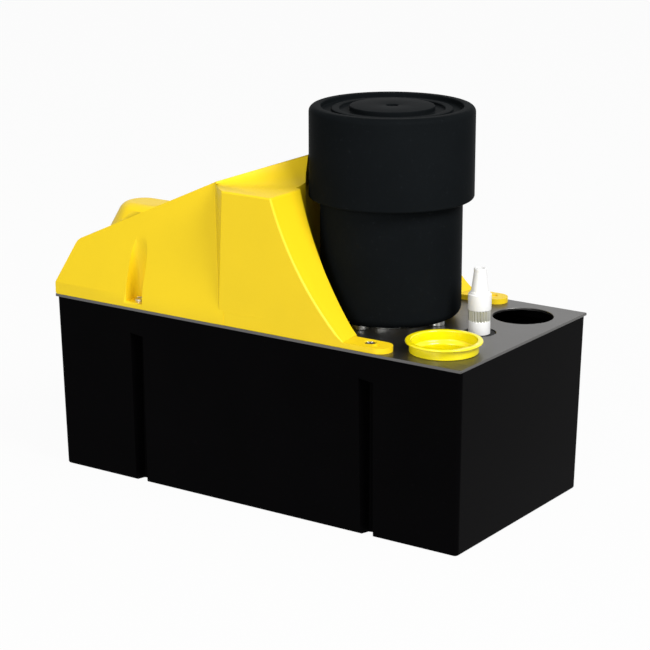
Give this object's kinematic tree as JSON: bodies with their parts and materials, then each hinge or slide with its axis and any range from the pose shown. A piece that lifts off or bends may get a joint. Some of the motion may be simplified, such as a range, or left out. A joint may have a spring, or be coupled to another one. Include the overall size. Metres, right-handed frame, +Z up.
{
  "type": "condensate pump",
  "caption": "Tank condensate pump: black sump tank, steel lid, yellow cover, upright motor with impeller below, float switches, spring check valve and inlet cup.",
  "frame": {"origin": "centre of the tank's flat underside", "axes": "+X along the tank towards the inlets and the outlet valve, +Y towards the back, the side of the open inlet hole, +Z up"},
  "size_m": [0.32, 0.1596, 0.2605],
  "materials": {
    "tank_black": "satin moulded black plastic",
    "lid_steel": "satin stainless sheet",
    "cover_yellow": "satin moulded yellow plastic",
    "cup_yellow": "glossy moulded yellow plastic",
    "motor_black": "satin black plastic",
    "fastener_steel": "bright steel",
    "ring_zinc": "bright turned metal",
    "casting": "die cast",
    "laminations": "stacked steel sheet",
    "copper": "varnished copper wire",
    "bearing_steel": "ground steel",
    "spring_steel": "spring wire",
    "seal_rubber": "black rubber",
    "valve_white": "white plastic",
    "valve_metal": "knurled plated metal",
    "pump_black": "moulded black plastic",
    "float_white": "foamed white plastic",
    "rod_steel": "stainless",
    "switch_black": "black plastic",
    "board_green": "solder mask",
    "nylon": "grey nylon",
    "capacitor_white": "white plastic can"
  },
  "bodies": {
    "base": {"alarm_switch": "switch_black", "board_screws": "fastener_steel", "board_standoffs": "nylon", "cable_gland": "pump_black", "circuit_board": "board_green", "cover": "cover_yellow", "cover_screws": "fastener_steel", "delivery_hose": "seal_rubber", "float_guides": "pump_black", "gland_nut": "pump_black", "hose_clips": "fastener_steel", "intake_strainer": "pump_black", "lever_pins": "fastener_steel", "lid_plate": "lid_steel", "lid_seal": "seal_rubber", "lower_bearing": "bearing_steel", "lower_motor_bracket": "casting", "motor_cap": "motor_black", "motor_mount_ring": "ring_zinc", "motor_shroud": "motor_black", "pump_column": "pump_black", "relays": "switch_black", "run_capacitor": "capacitor_white", "run_switch": "switch_black", "stator_core": "laminations", "stator_windings": "copper", "switch_bracket": "rod_steel", "tank": "tank_black", "terminal_block": "nylon", "through_bolts": "fastener_steel", "upper_bearing": "bearing_steel", "upper_motor_bracket": "casting", "valve_body": "valve_white", "valve_nozzle": "valve_white", "valve_ring": "valve_metal", "valve_seal": "seal_rubber", "valve_spring": "spring_steel", "volute": "pump_black", "volute_base": "pump_black", "volute_screws": "fastener_steel"},
    "rotor": {"motor_shaft": "bearing_steel", "rotor_core": "laminations", "cooling_fan": "pump_black", "water_slinger": "seal_rubber", "impeller": "pump_black", "impeller_nut": "fastener_steel"},
    "run_float": {"run_float": "float_white", "run_float_rod": "rod_steel", "run_rod_spool": "float_white"},
    "run_lever": {"run_lever": "rod_steel"},
    "alarm_float": {"alarm_float": "float_white", "alarm_float_rod": "rod_steel", "alarm_rod_spool": "float_white"},
    "alarm_lever": {"alarm_lever": "rod_steel"},
    "valve_poppet": {"valve_poppet": "valve_white"},
    "inlet_cup": {"inlet_cup": "cup_yellow"}
  },
  "joints": [
    {"name": "rotor_spin", "type": "hinge", "parent": "base", "child": "rotor", "pos_m": [0.0583, 0, 0], "axis": [0, 0, 1], "continuous": true},
    {"name": "run_float_lift", "type": "slide", "parent": "base", "child": "run_float", "axis": [0, 0, 1], "range_m": [0, 0.02]},
    {"name": "run_lever_turn", "type": "hinge", "parent": "base", "child": "run_lever", "pos_m": [-0.085, 0.034, 0.1502], "axis": [0, -1, 0], "range_deg": [0, 33]},
    {"name": "alarm_float_lift", "type": "slide", "parent": "base", "child": "alarm_float", "axis": [0, 0, 1], "range_m": [0, 0.012]},
    {"name": "alarm_lever_turn", "type": "hinge", "parent": "base", "child": "alarm_lever", "pos_m": [-0.085, -0.006, 0.1502], "axis": [0, -1, 0], "range_deg": [0, 20]},
    {"name": "poppet_lift", "type": "slide", "parent": "base", "child": "valve_poppet", "axis": [0, 0, 1], "range_m": [0, 0.0025], "stiffness_N_per_m": 100, "springref_m": -0.002, "deforming": ["valve_spring"]},
    {"name": "cup_lift", "type": "slide", "parent": "base", "child": "inlet_cup", "axis": [0, 0, 1], "range_m": [0, 0.025]}
  ],
  "couplings": [
    {"joint": "run_lever_turn", "follows": "run_float_lift", "rad_per_m": 28.571},
    {"joint": "alarm_lever_turn", "follows": "alarm_float_lift", "rad_per_m": 28.571}
  ]
}
